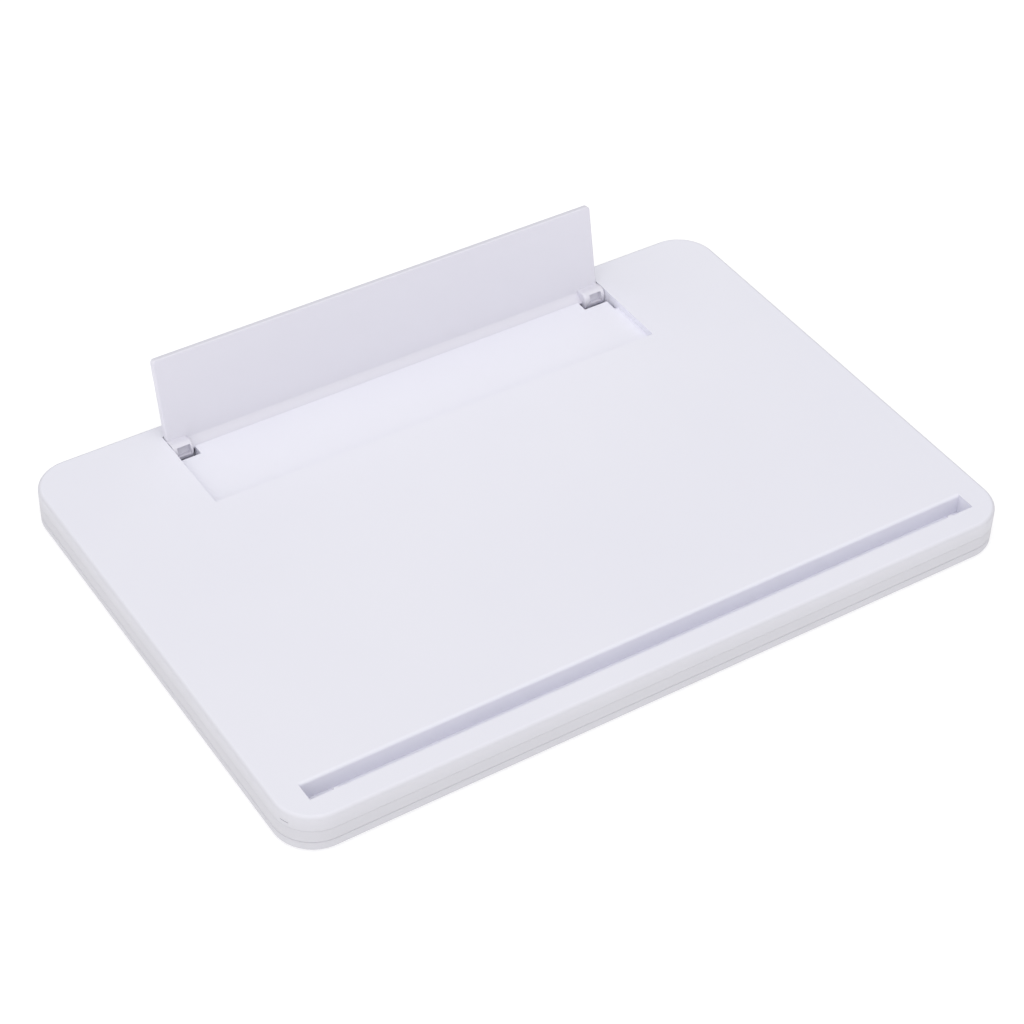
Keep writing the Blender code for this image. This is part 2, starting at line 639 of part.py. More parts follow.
def screw_mesh(name, length):
    """A turned pan-head screw, standing head down with its underside at z = 0."""
    edge = 0.0004
    profile = [(0.0, length), (SHANK_RADIUS * 0.5, length), (SHANK_RADIUS, length - SHANK_RADIUS),
               (SHANK_RADIUS, HEAD_HEIGHT), (HEAD_RADIUS, HEAD_HEIGHT), (HEAD_RADIUS, edge),
               (HEAD_RADIUS - edge, 0.0), (0.0, 0.0)]
    bm = bmesh.new()
    verts = [bm.verts.new((x, 0.0, z)) for x, z in profile]
    lines = [bm.edges.new(pair) for pair in zip(verts, verts[1:])]
    bmesh.ops.spin(bm, geom=verts + lines, cent=(0, 0, 0), axis=(0, 0, 1), angle=math.tau,
                   steps=16, use_merge=True)
    bmesh.ops.remove_doubles(bm, verts=bm.verts, dist=1e-6)
    return object_from_bmesh(name, bm, PARTS)


def build_screw(name, spot, head_z, length):
    screw = screw_mesh(name, length)
    screw.location = (spot[0], spot[1], head_z)
    arm = DRIVE_ARM
    slit = DRIVE_HALF_WIDTH
    deep = head_z + DRIVE_DEPTH
    along = block(name + "_drive_x", (spot[0] - arm, spot[1] - slit, head_z - 0.001),
                  (spot[0] + arm, spot[1] + slit, deep))
    across = block(name + "_drive_y", (spot[0] - slit, spot[1] - arm, head_z - 0.001),
                   (spot[0] + slit, spot[1] + arm, deep))
    cut(screw, [along, across])
    return finish_part(screw, MATERIALS["plated_steel"])


def build_screws():
    head_z = COUNTERBORE_TOP_Z - GAP - HEAD_HEIGHT
    for place, spot in COVER_SCREWS.items():
        build_screw("cover_screw_" + place, spot, head_z, COVER_SCREW_LENGTH)
    head_z = HINGE_BOX_BOTTOM_Z - GAP - RETAINER_THICKNESS - GAP - HEAD_HEIGHT
    for side, sign in SIDES:
        build_screw("retainer_screw_" + side, (sign * RETAINER_SCREW_X, HINGE_Y), head_z,
                    RETAINER_SCREW_LENGTH)


def build_feet():
    for place, (x, y) in FOOT_CENTRES.items():
        bm = bmesh.new()
        height = FOOT_PROUD + FOOT_SINK
        bmesh.ops.create_cone(bm, cap_ends=True, segments=24, radius1=FOOT_RADIUS,
                              radius2=FOOT_RADIUS, depth=height)
        bmesh.ops.translate(bm, verts=bm.verts, vec=(0.0, 0.0, height / 2))
        bevel(bm, edges_where(bm, lambda co: co.z < 1e-6), 0.0004, 2)
        foot = object_from_bmesh("foot_" + place, bm, PARTS)
        foot.location = (x, y, 0.0)
        finish_part(foot, MATERIALS["grey_rubber"])


# ---------------------------------------------------------------- build
clear_scene()
PARTS = make_collection("portable_drawing_board")
TOOLS = make_collection("cutters_and_guides")
MATERIALS = {name: make_material(name) for name in FINISHES}

build_top_cover()
build_middle_frame()
build_bottom_cover()
build_flap()
build_hinge_hardware()
build_screws()
build_feet()
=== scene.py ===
"""Looks of the portable drawing board: a white moulded case with a long slot for an upright plate
and a picture flap on two knuckles, on a plain pale floor.  Lengths are in metres."""

import json
import math

import bmesh
import bpy
from mathutils import Matrix, Vector


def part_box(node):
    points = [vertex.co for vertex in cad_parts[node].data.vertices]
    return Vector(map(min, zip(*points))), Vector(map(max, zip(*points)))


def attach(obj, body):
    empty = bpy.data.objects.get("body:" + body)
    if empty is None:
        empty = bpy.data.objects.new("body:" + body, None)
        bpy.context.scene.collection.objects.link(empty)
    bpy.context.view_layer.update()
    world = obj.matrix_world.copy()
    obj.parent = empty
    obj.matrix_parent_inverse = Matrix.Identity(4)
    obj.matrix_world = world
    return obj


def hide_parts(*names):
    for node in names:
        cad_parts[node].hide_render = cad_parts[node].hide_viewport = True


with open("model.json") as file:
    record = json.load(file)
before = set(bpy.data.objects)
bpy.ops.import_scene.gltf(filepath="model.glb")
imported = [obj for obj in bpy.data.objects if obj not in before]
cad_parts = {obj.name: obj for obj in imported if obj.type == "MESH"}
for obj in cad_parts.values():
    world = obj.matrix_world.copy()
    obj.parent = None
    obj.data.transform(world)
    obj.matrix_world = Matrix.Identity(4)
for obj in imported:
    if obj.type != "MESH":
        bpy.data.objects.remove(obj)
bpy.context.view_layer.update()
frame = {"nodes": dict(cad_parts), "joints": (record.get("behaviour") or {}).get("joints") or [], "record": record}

# ---------------------------------------------------------------- places taken from the frame
COVER_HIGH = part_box("top_cover")[1]
FLOOR_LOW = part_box("bottom_cover")[0]
FLAP_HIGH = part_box("picture_flap")[1]
PIN_LOW, PIN_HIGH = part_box("hinge_pin_right")
PIN_RADIUS = (PIN_HIGH.z - PIN_LOW.z) / 2
HINGE = frame["joints"][0]
OPENINGS = {hole["name"]: hole["box_m"] for hole in frame["record"]["physics"]["openings"]}
SLOT_LOW = OPENINGS["plate_slot_between_nubs"][0]

HALF_LENGTH = COVER_HIGH.x
HALF_DEPTH = COVER_HIGH.y
TOP = COVER_HIGH.z
UNDERSIDE = FLOOR_LOW.z
HINGE_Y = HINGE["pos_m"][1]
HINGE_Z = HINGE["pos_m"][2]
LEAN = math.radians(HINGE["range_deg"][1] - 90.0)

# case mouldings
CORNER_RADIUS = 0.017
WALL = 0.0022
TOP_RADIUS = 0.0018
LOWER_SEAM_RADIUS = 0.0005
UPPER_SEAM_RADIUS = 0.00015
SEAM_GAP = 0.00004
BOTTOM_RADIUS = 0.0016
GAP = 0.0003
LOWER_SEAM = UNDERSIDE + 0.0046
UPPER_SEAM = UNDERSIDE + 0.0105
PLATE_BOTTOM = TOP - WALL
FLOOR_TOP = UNDERSIDE + WALL
RIM_SOFTENING = 0.00018
TONGUE_THICKNESS = 0.0015
TONGUE_RISE = 0.0024
STANDOFF_RADIUS = 0.0044
STANDOFF_TOP = UNDERSIDE + 0.0065

# plate slot
SLOT_HALF = 0.1528
SLOT_FRONT = SLOT_LOW[1] - 0.0002
SLOT_WIDTH = 0.0083
SLOT_MOUTH = 0.0013
SLOT_FLOOR = UNDERSIDE + 0.0085
SLOT_WALL = 0.0018
NUB_X = 0.1418
NUB_WIDTH = 0.0020
NUB_REACH = 0.0013
NUB_HEIGHT = 0.0045
NUB_DROP = 0.0003

# slit in the wall at the near left corner
PRY_ANGLE = math.radians(203.0)
PRY_HEIGHT = UNDERSIDE + 0.0128
PRY_HALF = 0.0018
PRY_THIN = 0.0002
PRY_DEPTH = 0.0009

# recess and hinge well
RECESS_HALF = 0.1065
RECESS_FRONT = 0.0577
RECESS_BACK = 0.1046
RECESS_FLOOR = TOP - 0.0032
RECESS_SKIN = 0.0020
TROUGH_FRONT = 0.0962
TROUGH_FLOOR = UNDERSIDE + 0.0096
NOTCH_FRONT = 0.0906
NOTCH_INNER = {-1: 0.0960, 1: 0.0933}
NOTCH_OUTER = 0.1050
NOTCH_FLOOR = UNDERSIDE + 0.0078
NOTCH_BOTTOM = UNDERSIDE + 0.0063
RAMP_FRONT = 0.0840
RAMP_FOOT = 0.0916
RAMP_BACK = 0.0937
RAMP_DROP = 0.0050
WELL_BOTTOM = UNDERSIDE + 0.0075
LUG_HALF_WIDTH = 0.0040

# flap
FLAP_HALF = FLAP_HIGH.x
FLAP_THICKNESS = 0.0030
FLAP_FACE = 0.00075
FLAP_REACH = 0.04105
FLAP_TAIL = 0.00283
FLAP_CORNER = 0.0018
FLAP_EDGE = 0.0007
KNUCKLE_INNER = {-1: 0.0973, 1: 0.0958}
KNUCKLE_OUTER = 0.1062
KNUCKLE_RADIUS = 0.0055
KNUCKLE_TOP = 0.00355
KNUCKLE_NOSE = 0.0030
KNUCKLE_SOFTENING = 0.0003
KNUCKLE_ROUNDING = 0.0008
RAIL_RADIUS = 0.00305
RAIL_TOP = 0.0029
RAIL_BEND = (0.00035, 0.0006)
RAIL_FRONT_ANGLE = 203.0
RAIL_BOTTOM_ANGLE = 250.0
POCKET_INNER = 0.0985
POCKET_OUTER = 0.1045
POCKET_TOP = 0.0023
POCKET_BOTTOM = -0.0020
POCKET_FLOOR = 0.0036

# underside hardware
HEAD_RADIUS = 0.0023
HEAD_HEIGHT = 0.0015
SHANK_RADIUS = 0.0012
DRIVE_ARM = 0.0013
DRIVE_HALF = 0.0003
DRIVE_DEPTH = 0.0008
COUNTERBORE_TOP = UNDERSIDE + 0.0026
SCREWS = sorted(name for name in frame["nodes"] if name.startswith("cover_screw_"))
FEET = sorted(name for name in frame["nodes"] if name.startswith("foot_"))
PINS = sorted(name for name in frame["nodes"] if name.startswith("hinge_pin_"))

# camera and light
CAMERA_PLACE = (-0.4547, -0.6806, 0.7349)
CAMERA_AZIMUTH = 33.614
CAMERA_ELEVATION = 41.608
CAMERA_ROLL = 1.701
CAMERA_LENS = 94.80
CAMERA_SENSOR = 36.0
TENT_AIM = (-0.34, -0.38, 0.86)
TENT_EDGE = 0.0
TENT_DIM = 0.35
TENT_BRIGHT = 1.36
FLOOR_GLOW = 0.50

# finishes
# share of the walls' painted shade left at the top rim
WALL_TOP_SHADE = 0.72
PLASTIC_GRAIN = 0.35
SHARP_ANGLE = math.radians(40.0)
SMOOTH_ANGLE = math.radians(30.0)


# ---------------------------------------------------------------- finishes
class NodeBench:
    """Small helper that lays out and links the nodes of one finish."""

    def __init__(self, name):
        self.material = bpy.data.materials.new(name)
        self.material.use_nodes = True
        self.tree = self.material.node_tree
        self.shader = self.tree.nodes["Principled BSDF"]
        self.place = self.add("ShaderNodeTexCoord").outputs["Object"]

    def add(self, kind, **settings):
        node = self.tree.nodes.new(kind)
        for key, value in settings.items():
            setattr(node, key, value)
        return node

    def link(self, source, target):
        self.tree.links.new(source, target)

    def noise(self, scale, detail=2.0, roughness=0.5):
        node = self.add("ShaderNodeTexNoise")
        node.inputs["Scale"].default_value = scale
        node.inputs["Detail"].default_value = detail
        node.inputs["Roughness"].default_value = roughness
        self.link(self.place, node.inputs["Vector"])
        return node.outputs["Fac"]

    def spread(self, source, low, high, out_low, out_high):
        node = self.add("ShaderNodeMapRange")
        node.inputs["From Min"].default_value = low
        node.inputs["From Max"].default_value = high
        node.inputs["To Min"].default_value = out_low
        node.inputs["To Max"].default_value = out_high
        self.link(source, node.inputs["Value"])
        return node.outputs["Result"]

    def mix(self, factor, first, second):
        """Mix two colours; either may be a fixed colour or a socket."""
        node = self.add("ShaderNodeMix", data_type="RGBA")
        self.link(factor, node.inputs[0])
        for socket, value in ((node.inputs[6], first), (node.inputs[7], second)):
            if isinstance(value, tuple):
                socket.default_value = (*value, 1.0)
            else:
                self.link(value, socket)
        return node.outputs[2]

    def bump(self, height, strength, distance, normal=None):
        node = self.add("ShaderNodeBump")
        node.inputs["Strength"].default_value = strength
        node.inputs["Distance"].default_value = distance
        self.link(height, node.inputs["Height"])
        if normal is not None:
            self.link(normal, node.inputs["Normal"])
        return node.outputs["Normal"]


def moulded_plastic(name, colour, deep_colour, roughness):
    """White moulded plastic: slight clouding, a fine spark-eroded grain and broad flow marks."""
    bench = NodeBench(name)
    cloud = bench.spread(bench.noise(9.0, 3.0), 0.35, 0.65, 0.0, 1.0)
    fine = bench.noise(420.0, 2.0)
    tint = bench.mix(cloud, colour, deep_colour)
    bench.link(tint, bench.shader.inputs["Base Color"])
    patch = bench.spread(bench.noise(55.0, 3.0), 0.3, 0.7, roughness - 0.035, roughness + 0.035)
    bench.link(patch, bench.shader.inputs["Roughness"])
    flow = bench.bump(bench.noise(30.0, 1.0), 0.12, 0.00004)
    bench.link(bench.bump(fine, PLASTIC_GRAIN, 0.00002, flow), bench.shader.inputs["Normal"])
    bench.shader.inputs["Specular IOR Level"].default_value = 0.42
    bench.shader.inputs["IOR"].default_value = 1.50
    return bench


def outer_wall_share(bench):
    """How far a place is into the outer wall, the mask for the walls' painted shade: 0 on the drawing surface, 1
    in the wall.
    """
    fold = bench.add("ShaderNodeVectorMath", operation="ABSOLUTE")
    bench.link(bench.place, fold.inputs[0])
    shift = bench.add("ShaderNodeVectorMath", operation="SUBTRACT")
    shift.inputs[1].default_value = (HALF_LENGTH - CORNER_RADIUS, HALF_DEPTH - CORNER_RADIUS, 0.0)
    bench.link(fold.outputs["Vector"], shift.inputs[0])
    clip = bench.add("ShaderNodeVectorMath", operation="MAXIMUM")
    bench.link(shift.outputs["Vector"], clip.inputs[0])
    flat = bench.add("ShaderNodeVectorMath", operation="MULTIPLY")
    flat.inputs[1].default_value = (1.0, 1.0, 0.0)
    bench.link(clip.outputs["Vector"], flat.inputs[0])
    reach = bench.add("ShaderNodeVectorMath", operation="LENGTH")
    bench.link(flat.outputs["Vector"], reach.inputs[0])
    return bench.spread(reach.outputs["Value"], CORNER_RADIUS - 0.0016, CORNER_RADIUS - 0.0003,
                        0.0, 1.0)


def wall_shade_fade(bench):
    """How much of the walls' painted shade shows: all of it low down, less of it towards the top rim."""
    split = bench.add("ShaderNodeSeparateXYZ")
    bench.link(bench.place, split.inputs[0])
    return bench.spread(split.outputs["Z"], UNDERSIDE + 0.005, TOP - 0.001, 1.0, WALL_TOP_SHADE)


def paint_wall_shade(bench, tone):
    """Painted shade: the outer walls are coloured greyer than the top, most of all low down, because the light
    falls on them less.
    """
    socket = bench.shader.inputs["Base Color"]
    colour = socket.links[0].from_socket
    share = bench.add("ShaderNodeMath", operation="MULTIPLY")
    bench.link(outer_wall_share(bench), share.inputs[0])
    bench.link(wall_shade_fade(bench), share.inputs[1])
    bench.link(bench.mix(share.outputs["Value"], colour, tone), socket)


def foot_rubber(name):
    bench = NodeBench(name)
    tone = bench.mix(bench.noise(260.0, 4.0), (0.24, 0.24, 0.26), (0.34, 0.34, 0.36))
    bench.link(tone, bench.shader.inputs["Base Color"])
    bench.link(bench.spread(bench.noise(700.0, 2.0), 0.3, 0.7, 0.72, 0.9),
               bench.shader.inputs["Roughness"])
    bench.link(bench.bump(bench.noise(1400.0, 2.0), 0.5, 0.00003), bench.shader.inputs["Normal"])
    return bench


def plated_steel(name):
    bench = NodeBench(name)
    tone = bench.mix(bench.noise(600.0, 3.0), (0.52, 0.53, 0.55), (0.70, 0.70, 0.72))
    bench.link(tone, bench.shader.inputs["Base Color"])
    bench.link(bench.spread(bench.noise(1500.0, 2.0), 0.3, 0.7, 0.24, 0.42),
               bench.shader.inputs["Roughness"])
    bench.link(bench.bump(bench.noise(2600.0, 2.0), 0.25, 0.00001), bench.shader.inputs["Normal"])
    bench.shader.inputs["Metallic"].default_value = 1.0
    return bench


# ---------------------------------------------------------------- shapes
TINY = 1e-6


def box_shape(low, high):
    shape = bmesh.new()
    bmesh.ops.create_cube(shape, size=1.0)
    bmesh.ops.scale(shape, verts=shape.verts, vec=[b - a for a, b in zip(low, high)])
    bmesh.ops.translate(shape, verts=shape.verts, vec=[(a + b) / 2 for a, b in zip(low, high)])
    return shape


def soften(shape, edges, radius, steps):
    bmesh.ops.bevel(shape, geom=list(edges), offset=radius, offset_type="OFFSET", segments=steps,
                    profile=0.5, affect="EDGES", clamp_overlap=True, material=-1)


def level_edges(shape, height):
    return [edge for edge in shape.edges
            if all(abs(vert.co.z - height) < TINY for vert in edge.verts)]


def slab_shape(inset, low, high, top_radius=0.0, bottom_radius=0.0, corner_steps=24, rim_steps=6):
    """The board's rounded outline between two heights, its rims softened."""
    half_x = HALF_LENGTH - inset
    half_y = HALF_DEPTH - inset
    shape = box_shape((-half_x, -half_y, low), (half_x, half_y, high))
    upright = [edge for edge in shape.edges
               if abs(edge.verts[0].co.z - edge.verts[1].co.z) > TINY]
    soften(shape, upright, CORNER_RADIUS - inset, corner_steps)
    if top_radius:
        soften(shape, level_edges(shape, high), top_radius, rim_steps)
    if bottom_radius:
        soften(shape, level_edges(shape, low), bottom_radius, rim_steps)
    return shape


def rod_shape(centre, radius, low, high, axis="Z", steps=32):
    shape = bmesh.new()
    bmesh.ops.create_cone(shape, cap_ends=True, segments=steps, radius1=radius, radius2=radius,
                          depth=high - low)
    middle = (low + high) / 2
    if axis == "Z":
        place = Matrix.Translation((centre[0], centre[1], middle))
    else:
        turn = Matrix.Rotation(math.radians(90.0), 4, "Y")
        place = Matrix.Translation((middle, centre[0], centre[1])) @ turn
    bmesh.ops.transform(shape, matrix=place, verts=shape.verts)
    return shape


def section_shape(outline, low_x, high_x):
    """A (y, z) outline pushed out along X."""
    shape = bmesh.new()
    corners = [shape.verts.new((low_x, y, z)) for y, z in outline]
    face = shape.faces.new(corners)
    pushed = bmesh.ops.extrude_face_region(shape, geom=[face])
    moved = [item for item in pushed["geom"] if isinstance(item, bmesh.types.BMVert)]
    bmesh.ops.translate(shape, verts=moved, vec=(high_x - low_x, 0.0, 0.0))
    bmesh.ops.recalc_face_normals(shape, faces=shape.faces)
    return shape


def arc(centre_y, centre_z, radius, start, end, steps):
    angles = [math.radians(start + (end - start) * i / steps) for i in range(steps + 1)]
    return [(centre_y + radius * math.cos(a), centre_z + radius * math.sin(a)) for a in angles]


def bend(start, middle, end, steps):
    """Points of a smooth curve from start towards middle and on to end, without the end point."""
    points = []
    for i in range(steps):
        t = i / steps
        points.append(tuple((1 - t) ** 2 * a + 2 * t * (1 - t) * b + t * t * c
                            for a, b, c in zip(start, middle, end)))
    return points


def piece_from(name, shape):
    mesh = bpy.data.meshes.new(name)
    shape.to_mesh(mesh)
    shape.free()
    piece = bpy.data.objects.new(name, mesh)
    bpy.context.scene.collection.objects.link(piece)
    return piece


def join_and_cut(piece, steps):
    """Join shapes to a piece or cut them away, one after another, and keep the result."""
    helpers = []
    for number, (operation, shape) in enumerate(steps):
        helper = piece_from("helper_%d" % number, shape)
        modifier = piece.modifiers.new(operation, "BOOLEAN")
        modifier.operation = operation
        modifier.solver = "EXACT"
        modifier.object = helper
        helpers.append(helper)
    settle(piece)
    for helper in helpers:
        bpy.data.objects.remove(helper, do_unlink=True)
    return piece


def settle(piece):
    """Turn a piece's modifiers into its mesh."""
    bpy.context.view_layer.update()
    view = bpy.context.evaluated_depsgraph_get()
    mesh = bpy.data.meshes.new_from_object(piece.evaluated_get(view))
    piece.modifiers.clear()
    piece.data = mesh


def soften_piece(piece, test, radius, steps=3):
    """Round the piece's sharp edges that pass the test on their two ends."""
    shape = bmesh.new()
    shape.from_mesh(piece.data)
    bmesh.ops.remove_doubles(shape, verts=shape.verts, dist=2e-6)
    bmesh.ops.dissolve_degenerate(shape, edges=shape.edges, dist=1e-6)
    sharp = [edge for edge in shape.edges
             if len(edge.link_faces) == 2 and edge.calc_face_angle() > SHARP_ANGLE
             and all(test(vert.co) for vert in edge.verts)]
    soften(shape, sharp, radius, steps)
    shape.to_mesh(piece.data)
    shape.free()


def finish_piece(piece, bench, body, nodes):
    piece.data.materials.clear()
    piece.data.materials.append(bench.material)
    piece.data.shade_smooth()
    piece.data.set_sharp_from_angle(angle=SMOOTH_ANGLE)
    weighted = piece.modifiers.new("even_shading", "WEIGHTED_NORMAL")
    weighted.keep_sharp = True
    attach(piece, body)
    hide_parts(*nodes)
    return piece


# ---------------------------------------------------------------- top cover
def slot_outline():
    back = SLOT_FRONT + SLOT_WIDTH
    mouth = arc(back + SLOT_MOUTH, TOP - SLOT_MOUTH, SLOT_MOUTH, 180.0, 90.0, 8)
    above = TOP + 0.002
    return [(SLOT_FRONT, SLOT_FLOOR), (back, SLOT_FLOOR)] + mouth + [
        (back + SLOT_MOUTH, above), (SLOT_FRONT, above)]


def nub_outline():
    top = TOP - NUB_DROP
    back = SLOT_FRONT + NUB_REACH
    root = SLOT_FRONT - 0.0005
    nose = arc(back - 0.0007, top - 0.0007, 0.0007, 0.0, 90.0, 4)
    return [(root, top - NUB_HEIGHT), (SLOT_FRONT, top - NUB_HEIGHT),
            (back, top - NUB_HEIGHT * 0.7)] + nose + [(root, top)]


def pry_shape():
    """The thin slit cut into the cover's wall at its near left corner."""
    shape = box_shape((CORNER_RADIUS - PRY_DEPTH, -PRY_HALF, PRY_HEIGHT - PRY_THIN),
                      (CORNER_RADIUS + 0.001, PRY_HALF, PRY_HEIGHT + PRY_THIN))
    corner = Matrix.Translation((CORNER_RADIUS - HALF_LENGTH, CORNER_RADIUS - HALF_DEPTH, 0.0))
    bmesh.ops.transform(shape, matrix=corner @ Matrix.Rotation(PRY_ANGLE, 4, "Z"),
                        verts=shape.verts)
    return shape


def side_box(side, low, high):
    """A box given for the right-hand side, put there or mirrored to the left."""
    if side > 0:
        return box_shape(low, high)
    return box_shape((-high[0], low[1], low[2]), (-low[0], high[1], high[2]))


def well_walls():
    skin = RECESS_SKIN
    walls = [box_shape((-SLOT_HALF - SLOT_WALL, SLOT_FRONT - SLOT_WALL, SLOT_FLOOR - SLOT_WALL),
                       (SLOT_HALF + SLOT_WALL, SLOT_FRONT + SLOT_WIDTH + SLOT_WALL,
                        PLATE_BOTTOM + 0.0005)),
             box_shape((-RECESS_HALF - skin, RECESS_FRONT - skin, RECESS_FLOOR - skin),
                       (RECESS_HALF + skin, RECESS_BACK + skin, PLATE_BOTTOM + 0.0005)),
             box_shape((-RECESS_HALF - skin, TROUGH_FRONT - skin, WELL_BOTTOM),
                       (RECESS_HALF + skin, RECESS_BACK + skin, PLATE_BOTTOM + 0.0003))]
    for side in (-1, 1):
        inner = NOTCH_INNER[side] - skin
        walls += [side_box(side, (inner, NOTCH_FRONT - skin, WELL_BOTTOM + 0.0002),
                           (RECESS_HALF + skin - 0.0002, TROUGH_FRONT, PLATE_BOTTOM + 0.0001)),
                  side_box(side, (inner + 0.0001, NOTCH_FRONT - skin + 0.0001, NOTCH_BOTTOM),
                           (RECESS_HALF + GAP, RECESS_BACK + skin - 0.0002, NOTCH_FLOOR + 0.0004)),
                  side_box(side, (RECESS_HALF + 0.0001, HINGE_Y - LUG_HALF_WIDTH, WELL_BOTTOM + 0.0001),
                           (PIN_HIGH.x + 0.0003, HINGE_Y + LUG_HALF_WIDTH, PLATE_BOTTOM + 0.0004))]
    return walls


def ramp_outline():
    deep = RECESS_FLOOR - RAMP_DROP
    back = RAMP_BACK + 0.001
    return [(RAMP_FRONT, RECESS_FLOOR), (RAMP_FOOT, deep), (back, deep), (back, RECESS_FLOOR + 0.001),
            (RAMP_FRONT, RECESS_FLOOR + 0.001)]


def saddle_outline():
    radius = PIN_RADIUS + GAP
    low = NOTCH_BOTTOM - 0.001
    return [(HINGE_Y - radius, low), (HINGE_Y + radius, low)] + arc(
        HINGE_Y, HINGE_Z, radius, 0.0, 180.0, 16)


def recess_cuts():
    above = TOP + 0.002
    cuts = [box_shape((-RECESS_HALF, RECESS_FRONT, RECESS_FLOOR), (RECESS_HALF, RECESS_BACK, above)),
            box_shape((-NOTCH_INNER[-1] - 0.0005, TROUGH_FRONT, TROUGH_FLOOR),
                      (NOTCH_INNER[1] + 0.0005, RECESS_BACK, above - 0.0005))]
    for side in (-1, 1):
        cuts += [side_box(side, (NOTCH_INNER[side], NOTCH_FRONT, NOTCH_FLOOR),
                          (NOTCH_OUTER, RAMP_BACK + 0.001, above - 0.001)),
                 side_box(side, (NOTCH_INNER[side], RAMP_BACK, NOTCH_FLOOR),
                          (RECESS_HALF, RECESS_BACK, above - 0.0007))]
    inner = NOTCH_OUTER - 0.0001
    cuts += [section_shape(ramp_outline(), inner, RECESS_HALF),
             section_shape(ramp_outline(), -RECESS_HALF, -inner)]
    lug = PIN_HIGH.x + 0.0013
    cuts += [section_shape(saddle_outline(), RECESS_HALF - 0.0005, lug),
             section_shape(saddle_outline(), -lug, 0.0005 - RECESS_HALF)]
    return cuts


def make_top_cover(bench):
    cover = piece_from("drawing_top", slab_shape(0.0, UPPER_SEAM + SEAM_GAP / 2, TOP, TOP_RADIUS,
                                                 UPPER_SEAM_RADIUS))
    steps = [("DIFFERENCE", slab_shape(WALL, UPPER_SEAM - 0.002, PLATE_BOTTOM))]
    steps += [("UNION", wall) for wall in well_walls()]
    steps.append(("DIFFERENCE", section_shape(slot_outline(), -SLOT_HALF, SLOT_HALF)))
    steps.append(("DIFFERENCE", pry_shape()))
    steps += [("DIFFERENCE", hollow) for hollow in recess_cuts()]
    join_and_cut(cover, steps)
    on_top = TOP - 2e-6
    soften_piece(cover, lambda co: co.z > on_top, RIM_SOFTENING)
    half = NUB_WIDTH / 2
    middles = (-NUB_X, NUB_X)
    join_and_cut(cover, [("UNION", section_shape(nub_outline(), middle - half, middle + half))
                         for middle in middles])
    return finish_piece(cover, bench, "board", ["top_cover"])


# ---------------------------------------------------------------- frame and bottom cover
def make_frame_band(bench):
    band = piece_from("case_band", slab_shape(0.0, LOWER_SEAM + SEAM_GAP / 2, UPPER_SEAM - SEAM_GAP / 2,
                                              UPPER_SEAM_RADIUS, LOWER_SEAM_RADIUS, rim_steps=4))
    steps = [("UNION", slab_shape(WALL + GAP, FLOOR_TOP + GAP, UPPER_SEAM + TONGUE_RISE)),
             ("DIFFERENCE", slab_shape(WALL + GAP + TONGUE_THICKNESS, UNDERSIDE, TOP))]
    join_and_cut(band, steps)
    return finish_piece(band, bench, "board", ["middle_frame"])


def middle_of(name):
    low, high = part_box(name)
    return (low + high) / 2


def make_bottom_cover(bench):
    cover = piece_from("case_floor", slab_shape(0.0, UNDERSIDE, LOWER_SEAM - SEAM_GAP / 2,
                                                LOWER_SEAM_RADIUS, BOTTOM_RADIUS))
    steps = [("DIFFERENCE", slab_shape(WALL, FLOOR_TOP, TOP))]
    foot_low, foot_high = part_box(FEET[0])
    pocket = (foot_high.x - foot_low.x) / 2 + GAP
    for name in FEET:
        spot = middle_of(name)
        steps.append(("DIFFERENCE", rod_shape(spot, pocket, UNDERSIDE - 0.001, foot_high.z + GAP,
                                              steps=64)))
    for name in SCREWS:
        spot = middle_of(name)
        steps.append(("UNION", rod_shape(spot, STANDOFF_RADIUS, FLOOR_TOP - 0.0007, STANDOFF_TOP)))
        steps.append(("DIFFERENCE", rod_shape(spot, SHANK_RADIUS + GAP, UNDERSIDE, TOP)))
        steps.append(("DIFFERENCE", rod_shape(spot, HEAD_RADIUS + GAP, UNDERSIDE - 0.001,
                                              COUNTERBORE_TOP, steps=40)))
    join_and_cut(cover, steps)
    low = UNDERSIDE + 2e-6
    soften_piece(cover, lambda co: co.z < low, 0.0002, steps=2)
    return finish_piece(cover, bench, "board", ["bottom_cover"])


# ---------------------------------------------------------------- picture flap
def plate_shape():
    shape = box_shape((-FLAP_HALF, FLAP_FACE, -FLAP_TAIL),
                      (FLAP_HALF, FLAP_FACE + FLAP_THICKNESS, FLAP_REACH))
    corners = [edge for edge in shape.edges
               if all(vert.co.z > 0 for vert in edge.verts)
               and abs(edge.verts[0].co.y - edge.verts[1].co.y) > TINY]
    soften(shape, corners, FLAP_CORNER, 10)
    shape.normal_update()
    rims = {edge for face in shape.faces if abs(face.normal.y) > 0.9 for edge in face.edges}
    soften(shape, rims, FLAP_EDGE, 5)
    return shape


def knuckle_shape(low, high):
    """A barrel round the hinge axis that grows out of the plate's foot."""
    root = FLAP_FACE + 0.0010
    nose_z = KNUCKLE_TOP - KNUCKLE_NOSE
    nose_y = -math.sqrt((KNUCKLE_RADIUS - KNUCKLE_NOSE) ** 2 - nose_z ** 2)
    turn = math.degrees(math.atan2(nose_z, nose_y))
    outline = ([(root, KNUCKLE_TOP)] + arc(nose_y, nose_z, KNUCKLE_NOSE, 90.0, turn, 12)
               + arc(0.0, 0.0, KNUCKLE_RADIUS, turn, 225.0, 12)[1:] + [(root, 0.0001 - FLAP_TAIL)])
    return section_shape(outline, low, high)


def knuckle_end(shape, place):
    """The rim of a knuckle at one of its two ends."""
    return [edge for edge in shape.edges
            if all(abs(vert.co.x - place) < TINY for vert in edge.verts)]


